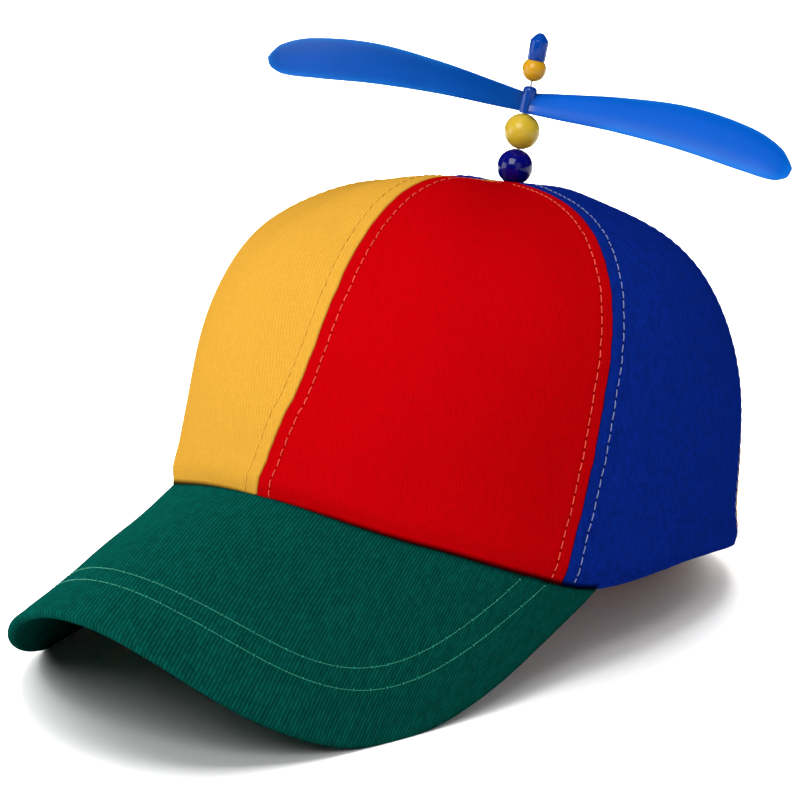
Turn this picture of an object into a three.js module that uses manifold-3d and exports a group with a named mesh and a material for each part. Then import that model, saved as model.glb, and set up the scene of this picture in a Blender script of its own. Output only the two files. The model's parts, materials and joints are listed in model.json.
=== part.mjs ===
// A propeller cap: a six-panel cloth crown with a curved visor, standing on a table, and on top of it
// a leaning pin that carries beads and a spinning two-blade propeller.
// Millimetres, +Z up, visor towards -Y, the wearer's left towards +X.
import * as THREE from 'three';
import { mergeVertices } from 'three/addons/utils/BufferGeometryUtils.js';
import Module from 'manifold-3d';

// Cloth and clearances
const CLOTH = 1.8;              // thickness of the crown's wall
const GAP = 0.3;                // clearance between neighbouring pieces
const CAP_TILT = 19;            // degrees the whole cap leans back on the table
const CAP_LIFT = 16.7;          // height of the cap's own origin over the table

// Crown, in the cap's own frame: Z runs up the middle of the crown
const HALF_WIDTH = 85;          // rim, side to side
const HALF_LENGTH = 91;         // rim, front to back
const RIM_SQUARENESS = 2.2;     // power of the rim's superellipse: 2 is an ellipse
const CROWN_HEIGHT = 117.1;
const TOP_PUCKER = 1.1;         // the cloth gathers up this much round the pin
const PUCKER_SPREAD = 9;
const CROWN_TOP_Y = -1.3;       // the top lies this far from the rim's middle
const PIN_HOLE = 2.5;           // radius of the hole at the top
const PANEL_COLUMNS = 10;
const PANEL_ROWS = 16;

// The crown round its rim, from the front middle (0 degrees) to the back (180), alike on both sides.
// rim is the height of the lower edge; dome rounds the top over, and wall keeps the side upright.
const STATIONS = [
  { angle: 0, rim: 8.4, dome: 3.6, wall: 1.4 },
  { angle: 36, rim: 3.3, dome: 1.95, wall: 4 },
  { angle: 72, rim: 0, dome: 2.1, wall: 5.9 },
  { angle: 126, rim: 19.3, dome: 3.35, wall: 2.15 },
  { angle: 180, rim: 12.4, dome: 3.35, wall: 2.15 },
];

// Soft dents pressed into the wall: where they lie round the rim and up the wall, how deep and how wide
const DENTS = [
  { angle: 12, rise: 0.2, depth: 1.6, width: 11 },
  { angle: 31, rise: 0.12, depth: 0.8, width: 14 },
];

// Visor: straight runs that leave the rim forwards and down, longest in the middle
const VISOR_THICKNESS = 3;
const VISOR_END_THICKNESS = 1.2;
const VISOR_END = 74;           // degrees from the front middle to each end
const VISOR_LENGTH = 81;
const VISOR_END_LENGTH = 1.2;
const VISOR_CORNER_POWER = 5.75; // how square the two front corners are
const VISOR_CORNER_EASE = 0.86; // and how softly they turn
const VISOR_SLOPE = 31;         // degrees down in the middle
const VISOR_SLOPE_GAIN = 58;    // and how it steepens towards the ends
const VISOR_SLOPE_EASE = 40;
const VISOR_EDGE_RAISE = 1.5;   // lift of the front edge's top over the straight run
const VISOR_BULGE = 1.8;        // and of the middle of each run
const VISOR_TUCK = CLOTH / 2;   // its inner edge goes this far in under the crown's wall
const VISOR_COLUMNS = 40;
// Where the rows of the visor lie: as a share of its length, with the share of its thickness there
const VISOR_ROWS = [
  { along: 1, thickness: 0.35 },
  { along: 0.988, thickness: 0.8 },
  { along: 0.97, thickness: 1 },
  { along: 0.78, thickness: 1 },
  { along: 0.55, thickness: 1 },
  { along: 0.3, thickness: 1 },
  { along: 0.1, thickness: 1 },
  { along: 0, thickness: 1 },
];

// Pin and what it carries: heights are along the pin, from the top of the crown
const PIN_FORWARD = 6;          // degrees the pin leans from the crown's middle line, to the front
const PIN_LEFT = 5.6;           // and to the wearer's left
const PIN_RADIUS = 0.5;
const PIN_TOP = 46;
const PIN_HEAD_RADIUS = 5;
const PIN_HEAD_TOP = -2.9;
const PIN_HEAD_BOTTOM = -4;
const BORE_RADIUS = PIN_RADIUS + GAP;
const ROUND_SIDES = 16;
const BEAD_STEPS = 12;
const BASE_BEAD = { radius: 5.5, height: 5.5 };
const SPACER_RADIUS = 5.6;
const SPACER_BEAD = {
  radius: SPACER_RADIUS,
  height: BASE_BEAD.height + BASE_BEAD.radius + GAP + SPACER_RADIUS,
};
const TOP_BEAD = { radius: 3.8, height: 37.1 };
const TIP_RADIUS = 2.75;
const TIP_BOTTOM = TOP_BEAD.height + TOP_BEAD.radius + GAP;
const TIP_TOP = 49;
const TIP_STRAIGHT = 0.62;      // share of the tip's height below its point
// The tip's point: how far out it is, as a share of the radius, on the way up
const TIP_POINT = [
  { up: 0, out: 1 },
  { up: 0.4, out: 0.74 },
  { up: 0.73, out: 0.48 },
  { up: 0.92, out: 0.26 },
  { up: 1, out: 0 },
];

// Propeller: a hub and two blades, in its own frame with the pin up Z and a blade along X
const HUB_RADIUS = 2.3;
const HUB_BOTTOM = SPACER_BEAD.height + SPACER_BEAD.radius + GAP;
const HUB_HEIGHT = 8.8;
const HUB_SHOULDER = 1.4;       // height of the rounded top
const HUB_STEPS = 5;            // and the steps in it
const BORE_OVERCUT = 1;
const BLADE_HEIGHT = 27.2;      // height of the blades' root over the crown
const BLADE_TURN = 30;          // degrees round the pin at rest
const BLADE_RADIUS = 87.5;
const BLADE_START = 1.3;
const BLADE_DROOP = 3.9;
const BLADE_PITCH = 48;
const BLADE_THICKNESS = 1.5;
const BLADE_CAMBER = 0.1;       // hump of the upper face, as a share of the blade's width
const BLADE_SECTIONS = 16;
const SECTION_POINTS = 12;
// Edges of the blade: their height over and under the line from root to tip
const BLADE_EDGES = [
  { out: 0, high: 2.4, low: 2.6 },
  { out: 0.1, high: 4.2, low: 3.1 },
  { out: 0.33, high: 8, low: 3 },
  { out: 0.58, high: 10.4, low: 3.2 },
  { out: 0.82, high: 8.8, low: 4.6 },
  { out: 0.945, high: 5, low: 4.9 },
  { out: 1, high: 0.6, low: 2.2 },
];

const COLOURS = {
  red: 0xc6040d,
  yellow: 0xf0b03e,
  blue: 0x0a1f74,
  green: 0x085040,
  propellerBlue: 0x0550b4,
  navy: 0x0e0c57,
  beadYellow: 0xd9ac34,
  steel: 0xb9bbbd,
};

// Panels round the crown, from the front middle: each ends at the angle given
const PANELS = [
  { name: 'panel_front_left', from: 0, to: 67, colour: 'red' },
  { name: 'panel_side_left', from: 67, to: 121, colour: 'blue' },
  { name: 'panel_rear_left', from: 121, to: 180, colour: 'yellow' },
  { name: 'panel_rear_right', from: 180, to: 239, colour: 'red' },
  { name: 'panel_side_right', from: 239, to: 293, colour: 'blue' },
  { name: 'panel_front_right', from: 293, to: 360, colour: 'yellow' },
];

const { degToRad, lerp, smootherstep } = THREE.MathUtils;
const wasm = await Module();
wasm.setup();

// A smooth curve through the rows of a table, read at one value of its key column
function readTable(rows, key, at, column) {
  let i = 0;
  while (i < rows.length - 2 && at > rows[i + 1][key]) i += 1;
  const [a, b] = [rows[i], rows[i + 1]];
  const [before, after] = [rows[i - 1] ?? a, rows[i + 2] ?? b];
  const span = b[key] - a[key];
  const slopeA = (b[column] - before[column]) / (b[key] - before[key]);
  const slopeB = (after[column] - a[column]) / (after[key] - a[key]);
  const u = (at - a[key]) / span;
  const ease = u * u * (3 - 2 * u);
  const leave = u * (1 - u) * (1 - u) * span * slopeA;
  const arrive = u * u * (u - 1) * span * slopeB;
  return lerp(a[column], b[column], ease) + leave + arrive;
}

// The stations with one row mirrored past the front and one past the back
const [, FIRST_SIDE] = STATIONS;
const LAST_SIDE = STATIONS[STATIONS.length - 2];
const STATIONS_ROUND = [
  { ...FIRST_SIDE, angle: -FIRST_SIDE.angle },
  ...STATIONS,
  { ...LAST_SIDE, angle: 360 - LAST_SIDE.angle },
];

function stationAt(angle, column) {
  const turn = Math.abs(THREE.MathUtils.euclideanModulo(angle + 180, 360) - 180);
  return readTable(STATIONS_ROUND, 'angle', turn, column);
}

function signedPower(value, power) {
  return Math.sign(value) * Math.abs(value) ** power;
}

function rimPoint(angle) {
  const turn = degToRad(angle);
  const power = 2 / RIM_SQUARENESS;
  return new THREE.Vector3(
    HALF_WIDTH * signedPower(Math.sin(turn), power),
    -HALF_LENGTH * signedPower(Math.cos(turn), power),
    stationAt(angle, 'rim'),
  );
}

// One line up the crown, from its rim to its top
class Meridian extends THREE.Curve {
  constructor(angle) {
    super();
    this.rim = rimPoint(angle);
    this.dome = stationAt(angle, 'dome');
    this.wall = stationAt(angle, 'wall');
  }

  getPoint(t, target = new THREE.Vector3()) {
    const turn = smootherstep(t, 0, 1) * Math.PI / 2;
    const out = Math.max(Math.cos(turn), 0) ** (2 / this.dome);
    const up = Math.sin(turn) ** (2 / this.wall);
    target.set(this.rim.x * out, lerp(CROWN_TOP_Y, this.rim.y, out), 0);
    const fromPin = Math.hypot(target.x, target.y - CROWN_TOP_Y) / PUCKER_SPREAD;
    target.z = lerp(this.rim.z, CROWN_HEIGHT, up) + TOP_PUCKER * Math.exp(-fromPin * fromPin);
    return target;
  }
}

// Lifts a point of soft cloth that would lie under the table onto the table
function settle(point) {
  const tilt = degToRad(CAP_TILT);
  const upright = new THREE.Vector3(0, -Math.sin(tilt), Math.cos(tilt));
  const height = CAP_LIFT + point.dot(upright);
  return point.addScaledVector(upright, Math.max(-height, 0));
}

// Normals of a grid of points, from the neighbours along its rows and columns
function gridNormals(grid, closed) {
  const columns = grid[0].length;
  const rows = grid.length;
  const pick = (row, column) => {
    const wrapped = closed ? (column + columns) % columns : THREE.MathUtils.clamp(column, 0, columns - 1);
    return grid[THREE.MathUtils.clamp(row, 0, rows - 1)][wrapped];
  };
  return grid.map((points, row) => points.map((point, column) => {
    const across = pick(row, column + 1).clone().sub(pick(row, column - 1));
    const up = pick(row + 1, column).clone().sub(pick(row - 1, column));
    return across.cross(up).normalize();
  }));
}

// A closed plate between two grids of points that have the same rows and columns
function plate(outer, inner) {
  const rows = outer.length;
  const columns = outer[0].length;
  const points = [...outer.flat(), ...inner.flat()];
  const at = (row, column, side) => (side * rows + row) * columns + column;
  const index = [];
  for (let row = 0; row < rows - 1; row += 1) {
    for (let column = 0; column < columns - 1; column += 1) {
      const corners = [[row, column], [row, column + 1], [row + 1, column + 1], [row + 1, column]];
      const [a, b, c, d] = corners.map(([r, k]) => at(r, k, 0));
      const [e, f, g, h] = corners.map(([r, k]) => at(r, k, 1));
      index.push(a, b, c, a, c, d, e, g, f, e, h, g);
    }
  }
  const border = [];
  for (let column = 0; column < columns - 1; column += 1) border.push([0, column]);
  for (let row = 0; row < rows - 1; row += 1) border.push([row, columns - 1]);
  for (let column = columns - 1; column > 0; column -= 1) border.push([rows - 1, column]);
  for (let row = rows - 1; row > 0; row -= 1) border.push([row, 0]);
  border.forEach(([row, column], i) => {
    const [nextRow, nextColumn] = border[(i + 1) % border.length];
    const [a, b] = [at(row, column, 0), at(nextRow, nextColumn, 0)];
    const [c, d] = [at(row, column, 1), at(nextRow, nextColumn, 1)];
    index.push(a, c, b, b, c, d);
  });
  const geometry = new THREE.BufferGeometry().setFromPoints(points);
  geometry.setIndex(index);
  return geometry;
}

// The crown's outside as one grid: rows up from the rim, and columns once round it
function crownGrid() {
  const angles = PANELS.flatMap(({ from, to }) => (
    Array.from({ length: PANEL_COLUMNS }, (_, i) => lerp(from, to, i / PANEL_COLUMNS))
  ));
  const lines = angles.map((angle) => {
    const meridian = new Meridian(angle);
    const top = 1 - PIN_HOLE / meridian.getLength();
    return Array.from({ length: PANEL_ROWS + 1 }, (_, row) => meridian.getPointAt(top * row / PANEL_ROWS));
  });
  const smooth = Array.from({ length: PANEL_ROWS + 1 }, (_, row) => lines.map((line) => line[row]));
  return dent(smooth);
}

// Presses the soft dents into the crown's grid
function dent(grid) {
  const normals = gridNormals(grid, true);
  const hollows = DENTS.map(({ angle, rise, depth, width }) => (
    { middle: new Meridian(angle).getPointAt(rise), depth, width }
  ));
  return grid.map((points, row) => points.map((point, column) => {
    const press = hollows.reduce((sum, { middle, depth, width }) => (
      sum + depth * Math.exp(-point.distanceToSquared(middle) / (width * width))
    ), 0);
    return point.clone().addScaledVector(normals[row][column], -press);
  }));
}

function clothMaterial(colour) {
  return new THREE.MeshStandardMaterial({ color: COLOURS[colour], roughness: 0.9, metalness: 0 });
}

function plasticMaterial(colour) {
  return new THREE.MeshStandardMaterial({ color: COLOURS[colour], roughness: 0.3, metalness: 0 });
}

function namedMesh(name, geometry, material) {
  const mesh = new THREE.Mesh(geometry, material);
  mesh.name = name;
  return mesh;
}

// Six cloth panels, with a hairline between neighbours where the seams run
function crownPanels() {
  const grid = crownGrid();
  const normals = gridNormals(grid, true);
  const round = grid[0].length;
  return PANELS.map(({ name, colour }, panel) => {
    const outer = [];
    const inner = [];
    grid.forEach((points, row) => {
      const outerRow = [];
      const innerRow = [];
      for (let i = 0; i <= PANEL_COLUMNS; i += 1) {
        const column = (panel * PANEL_COLUMNS + i) % round;
        const normal = normals[row][column];
        const point = points[column].clone();
        const across = points[(column + 1) % round].clone().sub(points[(column + round - 1) % round]);
        if (i === 0) point.addScaledVector(across.normalize(), GAP / 2);
        if (i === PANEL_COLUMNS) point.addScaledVector(across.normalize(), -GAP / 2);
        outerRow.push(settle(point.clone()));
        innerRow.push(settle(point.addScaledVector(normal, -CLOTH)));
      }
      outer.push(outerRow);
      inner.push(innerRow);
    });
    return namedMesh(name, plate(outer, inner), clothMaterial(colour));
  });
}

// The visor: its rows run from the front edge back to the rim
function visor() {
  const columns = Array.from({ length: VISOR_COLUMNS + 1 }, (_, i) => (
    Math.sin(Math.PI * (i / VISOR_COLUMNS - 0.5))
  ));
  const top = VISOR_ROWS.map(({ along }) => columns.map((side) => visorTopPoint(side, along)));
  const normals = gridNormals(top, false);
  const sunk = (direction) => top.map((points, row) => points.map((point, column) => {
    const full = lerp(VISOR_END_THICKNESS, VISOR_THICKNESS, visorReach(columns[column]));
    const deep = full * (1 + direction * VISOR_ROWS[row].thickness) / 2;
    return settle(point.clone().addScaledVector(normals[row][column], -deep));
  }));
  return namedMesh('visor', plate(sunk(-1), sunk(1)), clothMaterial('green'));
}

// How far forward the visor reaches, as a share of its middle: side runs from -1 to 1
function visorReach(side) {
  return Math.max(1 - Math.abs(side) ** VISOR_CORNER_POWER, 0) ** VISOR_CORNER_EASE;
}

// A point of the visor's top: side runs from -1 to 1, along from 0 at the rim to 1 at the edge
function visorTopPoint(side, along) {
  const reach = visorReach(side);
  const length = lerp(VISOR_END_LENGTH, VISOR_LENGTH, reach) * along;
  const slope = degToRad(VISOR_SLOPE + VISOR_SLOPE_GAIN * side ** 2 - VISOR_SLOPE_EASE * side ** 4);
  const point = rimPoint(side * VISOR_END);
  const inward = new THREE.Vector3(-point.x, CROWN_TOP_Y - point.y, 0).normalize();
  point.addScaledVector(inward, VISOR_TUCK * (1 - along));
  point.y -= length * Math.cos(slope);
  const lift = VISOR_EDGE_RAISE * along + VISOR_BULGE * Math.sin(Math.PI * along);
  point.z += lift * reach - length * Math.sin(slope) - GAP;
  return point;
}

function turned(profile) {
  const geometry = new THREE.LatheGeometry(profile.map(([r, z]) => new THREE.Vector2(r, z)), ROUND_SIDES);
  return geometry.rotateX(Math.PI / 2);
}

function pin() {
  const profile = [
    [0, PIN_HEAD_BOTTOM],
    [PIN_HEAD_RADIUS, PIN_HEAD_BOTTOM],
    [PIN_HEAD_RADIUS, PIN_HEAD_TOP],
    [PIN_RADIUS, PIN_HEAD_TOP],
    [PIN_RADIUS, PIN_TOP],
    [0, PIN_TOP],
  ];
  const steel = new THREE.MeshStandardMaterial({ color: COLOURS.steel, roughness: 0.35, metalness: 1 });
  return namedMesh('pin', turned(profile), steel);
}

function bead(name, { radius, height }, colour) {
  const mouth = Math.asin(BORE_RADIUS / radius);
  const arc = Array.from({ length: BEAD_STEPS + 1 }, (_, i) => {
    const turn = lerp(mouth, Math.PI - mouth, i / BEAD_STEPS);
    return [radius * Math.sin(turn), height - radius * Math.cos(turn)];
  });
  return namedMesh(name, turned([...arc, arc[0]]), plasticMaterial(colour));
}

function tipCap() {
  const shoulder = lerp(TIP_BOTTOM, TIP_TOP, TIP_STRAIGHT);
  const profile = [
    [0, PIN_TOP + GAP],
    [BORE_RADIUS, PIN_TOP + GAP],
    [BORE_RADIUS, TIP_BOTTOM],
    [TIP_RADIUS, TIP_BOTTOM],
    ...TIP_POINT.map(({ up, out }) => [TIP_RADIUS * out, lerp(shoulder, TIP_TOP, up)]),
  ];
  return namedMesh('tip_cap', turned(profile), plasticMaterial('propellerBlue'));
}

// One blade along +X: thin sections, pitched, with their ends closed
function blade() {
  const pitch = degToRad(BLADE_PITCH);
  const points = [];
  for (let i = 0; i <= BLADE_SECTIONS; i += 1) {
    const out = Math.sin(Math.PI / 2 * i / BLADE_SECTIONS);
    const high = readTable(BLADE_EDGES, 'out', out, 'high');
    const low = readTable(BLADE_EDGES, 'out', out, 'low');
    const width = (high + low) / Math.sin(pitch);
    for (let k = 0; k < SECTION_POINTS; k += 1) {
      const round = 2 * Math.PI * k / SECTION_POINTS;
      const chord = width * (1 - Math.cos(round)) / 2 - low / Math.sin(pitch);
      const camber = BLADE_CAMBER * width * Math.sin(round) ** 2;
      const lift = camber + BLADE_THICKNESS / 2 * Math.sin(round);
      points.push(new THREE.Vector3(
        lerp(BLADE_START, BLADE_RADIUS, out),
        chord * Math.cos(pitch) - lift * Math.sin(pitch),
        chord * Math.sin(pitch) + lift * Math.cos(pitch) - BLADE_DROOP * out,
      ));
    }
  }
  const index = [];
  const last = BLADE_SECTIONS * SECTION_POINTS;
  for (let k = 0; k < SECTION_POINTS; k += 1) {
    const next = (k + 1) % SECTION_POINTS;
    for (let start = 0; start < last; start += SECTION_POINTS) {
      const [a, b] = [start + k, start + next];
      const [c, d] = [a + SECTION_POINTS, b + SECTION_POINTS];
      index.push(a, c, b, b, c, d);
    }
    if (k > 0 && next > 0) index.push(0, k, next, last, last + next, last + k);
  }
  const geometry = new THREE.BufferGeometry().setFromPoints(points);
  geometry.setIndex(index);
  return geometry;
}

function toSolid(geometry) {
  const bare = geometry.clone();
  bare.deleteAttribute('normal');
  bare.deleteAttribute('uv');
  const merged = mergeVertices(bare);
  const vertProperties = new Float32Array(merged.attributes.position.array);
  const triVerts = new Uint32Array(merged.index.array);
  return new wasm.Manifold(new wasm.Mesh({ numProp: 3, vertProperties, triVerts }));
}

function fromSolid(solid) {
  const { vertProperties, triVerts } = solid.getMesh();
  const geometry = new THREE.BufferGeometry();
  geometry.setAttribute('position', new THREE.BufferAttribute(new Float32Array(vertProperties), 3));
  geometry.setIndex(new THREE.BufferAttribute(new Uint32Array(triVerts), 1));
  return geometry;
}

// The hub's top: a quarter of an ellipse from its straight side in to the axis
function hubTop(top) {
  return Array.from({ length: HUB_STEPS + 1 }, (_, i) => {
    const turn = Math.PI / 2 * i / HUB_STEPS;
    const out = i < HUB_STEPS ? HUB_RADIUS * Math.cos(turn) : 0;
    return [out, lerp(top - HUB_SHOULDER, top, Math.sin(turn))];
  });
}

// Hub and blades are one moulding, with the bore cut through it last
function propeller() {
  const low = HUB_BOTTOM - BLADE_HEIGHT;
  const high = low + HUB_HEIGHT;
  const hub = toSolid(turned([
    [0, low],
    [HUB_RADIUS, low],
    ...hubTop(high),
  ]));
  const bore = toSolid(turned([
    [0, low - BORE_OVERCUT],
    [BORE_RADIUS, low - BORE_OVERCUT],
    [BORE_RADIUS, high + BORE_OVERCUT],
    [0, high + BORE_OVERCUT],
  ]));
  const moulding = hub
    .add(toSolid(blade()))
    .add(toSolid(blade().rotateZ(Math.PI)))
    .subtract(bore);
  const mesh = namedMesh('propeller', fromSolid(moulding), plasticMaterial('propellerBlue'));
  mesh.position.z = BLADE_HEIGHT;
  mesh.rotation.z = degToRad(BLADE_TURN);
  return mesh;
}

const pinGroup = new THREE.Group();
pinGroup.position.set(0, CROWN_TOP_Y, CROWN_HEIGHT + TOP_PUCKER);
pinGroup.rotation.set(degToRad(PIN_FORWARD), degToRad(PIN_LEFT), 0);
pinGroup.add(
  pin(),
  bead('base_bead', BASE_BEAD, 'navy'),
  bead('spacer_bead', SPACER_BEAD, 'beadYellow'),
  propeller(),
  bead('top_bead', TOP_BEAD, 'beadYellow'),
  tipCap(),
);

const cap = new THREE.Group();
cap.add(...crownPanels(), visor(), pinGroup);
cap.rotation.x = degToRad(-CAP_TILT);
cap.position.z = CAP_LIFT;

// The origin is on the table, under the middle of the finished cap
const propellerCap = new THREE.Group();
propellerCap.add(cap);
propellerCap.updateMatrixWorld(true);
const middle = new THREE.Box3().setFromObject(propellerCap, true).getCenter(new THREE.Vector3());
cap.position.x = -middle.x;
cap.position.y = -middle.y;

export default propellerCap;
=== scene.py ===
# A propeller cap on a pale studio floor: six cotton panels with topstitched seams, a stitched visor,
# and a leaning pin that carries beads and a blue propeller.
# The floor's frame has +Z up, the visor towards -Y and the wearer's left towards +X.
# Sizes are in millimetres, and cap_to_room and pin_to_room turn points into metres.
import json
import math

import bmesh
import bpy
import numpy as np
from mathutils import Color, Matrix, Vector
from mathutils.kdtree import KDTree

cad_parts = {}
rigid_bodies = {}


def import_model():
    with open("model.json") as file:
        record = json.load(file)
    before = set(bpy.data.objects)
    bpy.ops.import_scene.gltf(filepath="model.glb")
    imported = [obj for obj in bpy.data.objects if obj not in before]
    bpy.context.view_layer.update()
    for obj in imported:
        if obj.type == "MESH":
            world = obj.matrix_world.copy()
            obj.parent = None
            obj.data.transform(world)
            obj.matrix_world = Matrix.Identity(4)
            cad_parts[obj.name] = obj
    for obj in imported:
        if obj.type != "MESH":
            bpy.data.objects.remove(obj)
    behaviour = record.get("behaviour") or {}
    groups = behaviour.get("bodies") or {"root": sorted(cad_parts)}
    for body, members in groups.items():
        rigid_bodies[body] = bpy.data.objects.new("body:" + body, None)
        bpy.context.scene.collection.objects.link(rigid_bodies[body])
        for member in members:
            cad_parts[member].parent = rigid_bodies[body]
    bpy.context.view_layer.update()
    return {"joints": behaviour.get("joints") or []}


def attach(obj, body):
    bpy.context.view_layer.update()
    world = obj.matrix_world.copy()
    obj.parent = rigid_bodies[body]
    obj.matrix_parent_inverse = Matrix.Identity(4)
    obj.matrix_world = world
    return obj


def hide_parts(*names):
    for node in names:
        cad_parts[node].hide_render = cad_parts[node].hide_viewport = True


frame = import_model()
MM = 0.001
rng = np.random.default_rng(20)

# Crown, in the cap's own frame: Z runs up its middle, and angles go round from the front
# to the wearer's left
CLOTH = 1.8
CAP_TILT = 19
HALF_WIDTH = 85
HALF_LENGTH = 91
RIM_SQUARENESS = 2.2
CROWN_HEIGHT = 117.1
TOP_PUCKER = 1.1
PUCKER_SPREAD = 9
CROWN_TOP_Y = -1.3
PIN_HOLE = 2.5
STATIONS = dict(
    angle=[-36, 0, 36, 72, 126, 180, 234],
    rim=[3.3, 8.4, 3.3, 0, 19.3, 12.4, 19.3],
    dome=[1.95, 3.6, 1.95, 2.1, 3.35, 3.35, 3.35],
    wall=[4, 1.4, 4, 5.9, 2.15, 2.15, 2.15],
)
# Soft forms pressed into the wall or swelling out of it, by the angle and the share of the way up
SOFT_FORMS = [
    dict(angle=12, rise=0.2, height=-1.6, width=11),
    dict(angle=31, rise=0.12, height=-0.8, width=14),
    dict(angle=312, rise=0.3, height=1.2, width=38),
    dict(angle=355, rise=0.875, height=-0.8, width=14),
    dict(angle=290, rise=0.915, height=1.7, width=9),
    dict(angle=120, rise=0.9, height=2.3, width=12.5),
]
# How far the hem is lifted and flares out, beyond the smooth rim
HEM_TRIM = dict(
    angle=[0, 58, 73, 84, 95, 106, 118, 127, 145, 180],
    lift=[0, 0, -1.5, -0.4, 1.2, 0, -2.2, -3.2, -1.5, 0],
    flare=[0, 0, 0, 0, 0, 0.4, 1.4, 1.6, 0.6, 0],
)
FLARE_HEIGHT = 10
# The hem's dip over the visor's root, and how far up the hem the visor meets it
FRONT_DIP = dict(depth=1.2, angle=14, spread=32)
HEM_LINE = 0.5
# Seams by their angle at the hem and at the top, how far they sway off that line, where and over
# what share of the way up, and how far from them the stitches run
SEAMS = {
    "front": dict(foot=-1.3, top=-1.1, sway=1.9, at=0.43, over=0.11, stitch=5.2),
    "left": dict(foot=67.9, top=67.5, sway=-2, at=0, over=0.07, stitch=4),
    "rear_left": dict(foot=128, top=114, sway=-2.4, at=0.4, over=0.3, stitch=4),
    "rear": dict(foot=180, top=180, sway=0, at=0.5, over=0.3, stitch=4),
    "rear_right": dict(foot=232, top=246, sway=2.4, at=0.4, over=0.3, stitch=4),
    "right": dict(foot=294, top=297, sway=34, at=0.85, over=0.13, stitch=4),
}
SEAM_WOBBLE = 0.05
WOBBLE_TURNS = (9, 17, 31)
# Each panel's colour, in the order of the seams: a panel runs from its own seam to the next
PANELS = {
    "front_left": "red",
    "side_left": "blue",
    "rear_left": "yellow",
    "rear_right": "red",
    "side_right": "blue",
    "front_right": "yellow",
}
PANEL_COLUMNS = 72
PANEL_ROWS = 96
LINE_STEPS = 400
ANGLE_STEP = 0.05
WELD = 0.002

# Sewing of the crown: a rolled hem, seams that dip between the panels, and a row of stitches beside each
HEM_ROLL = 0.82
HEM_ROWS = [0, 0.04, 0.13, 0.28, 0.5, 0.82, 1.4, 2.2]
SEAM_ROLL = 0.6
SEAM_RIDGE = 0.22
ALLOWANCE = 8
ALLOWANCE_EASE = 3
INNER_RIDGE = 0.5
STITCH_CHANNEL = 0.2
CHANNEL_WIDTH = 0.6
PUCKER_DEPTH = 0.07
PUCKER_WIDTH = 1.8
WAVES = 7
WAVE_DEPTH = 0.1
WAVE_LENGTHS = (26, 60)
HEM_BULGE = dict(depth=0.9, place=6, spread=5.5)
HEM_CALM = 9
CROWN_STITCH = dict(pitch=3.4, gap=0.55, radius=0.19, arch=0.12)
STITCH_END_MARGIN = 0.25
STITCH_UNEVEN = 0.2
STITCH_SWAY = 0.5
STITCH_STEPS = 9
STITCH_SIDES = 6
# A stitch's ends dive into the cloth and taper, by a power of the distance from its middle
STITCH_LIFT = 0.4
STITCH_DIVE = dict(depth=1.6, power=6)
STITCH_TAPER = dict(share=0.55, power=8)
KNOT_END = 0.4

# Visor
GAP = 0.3
VISOR_THICKNESS = 3
VISOR_END_THICKNESS = 1.2
VISOR_END = 74
VISOR_LENGTH = 81
VISOR_END_LENGTH = 0.4
VISOR_CORNER_POWER = 5.75
VISOR_CORNER_EASE = 0.86
VISOR_SLOPE = 31
VISOR_SLOPE_GAIN = 58
VISOR_SLOPE_EASE = 40
VISOR_EDGE_RAISE = 1.5
VISOR_BULGE = 1.8
VISOR_TUCK = 0.2
VISOR_ALLOWANCE = dict(low=1.2, high=6, outer=0.2, thickness=1.0)
VISOR_COLUMNS = 176
VISOR_ROWS = 62
EDGE_ROWS = [0, 0.08, 0.25, 0.5, 0.85, 1.25, 1.7, 2.3, 3.1]
EDGE_ROLL_SHARE = 0.48
EDGE_CREASE = dict(depth=0.2, place=4.6, width=1.1)
VISOR_STITCH_ROWS = [dict(along=0.698, end=0.775), dict(along=0.78, end=0.85)]
VISOR_ROW_POWER = 9
VISOR_ROW_EASE = 0.85
VISOR_PATH_POINTS = 500
VISOR_CHANNEL = 0.22
VISOR_PUFF = 0.2
ROW_SPREAD = 3.5
ROOT_CALM = 0.15
SIDE_STEP = 0.0005
EDGE_POINTS = 4000
VISOR_STITCH = dict(pitch=5.2, gap=0.1, radius=0.13, arch=0.09)
VISOR_KNOT = dict(length=0.9, radius=0.24, twist=0.9)
# A count of stitches halfway between two needle holes, where the finish paints no shade of needle holes
MID_STITCH = 0.5

# Pin and what it carries: heights are along the pin, from the top of the crown
PIN_FORWARD = 6
PIN_LEFT = 5.6
PIN_RADIUS = 0.5
PIN_TOP = 46
PIN_HEAD_RADIUS = 5
PIN_HEAD_TOP = -2.9
PIN_HEAD_BOTTOM = -4
BORE_RADIUS = 0.8
BASE_BEAD = dict(radius=5.85, height=5.2)
SPACER_BEAD = dict(radius=5.82, height=16.9)
TOP_BEAD = dict(radius=3.95, height=37.1)
BEAD_STEPS = 48
BEAD_MOUTH = 0.25
ROUND_SIDES = 72
# Edges that turn by more than these degrees stay crisp
CRISP = dict(bead=50, pin=35, tip=50, propeller=40)
TIP_RADIUS = 3.0
TIP_SEAT = 0.1
TIP_TOP = 49
TIP_SHOULDER = 46
TIP_LIP = 0.25
TIP_STEPS = 28
TIP_POINT = dict(
    up=[0, 0.15, 0.4, 0.73, 0.9, 0.97, 1],
    out=[1, 0.97, 0.8, 0.52, 0.33, 0.2, 0],
)

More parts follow.
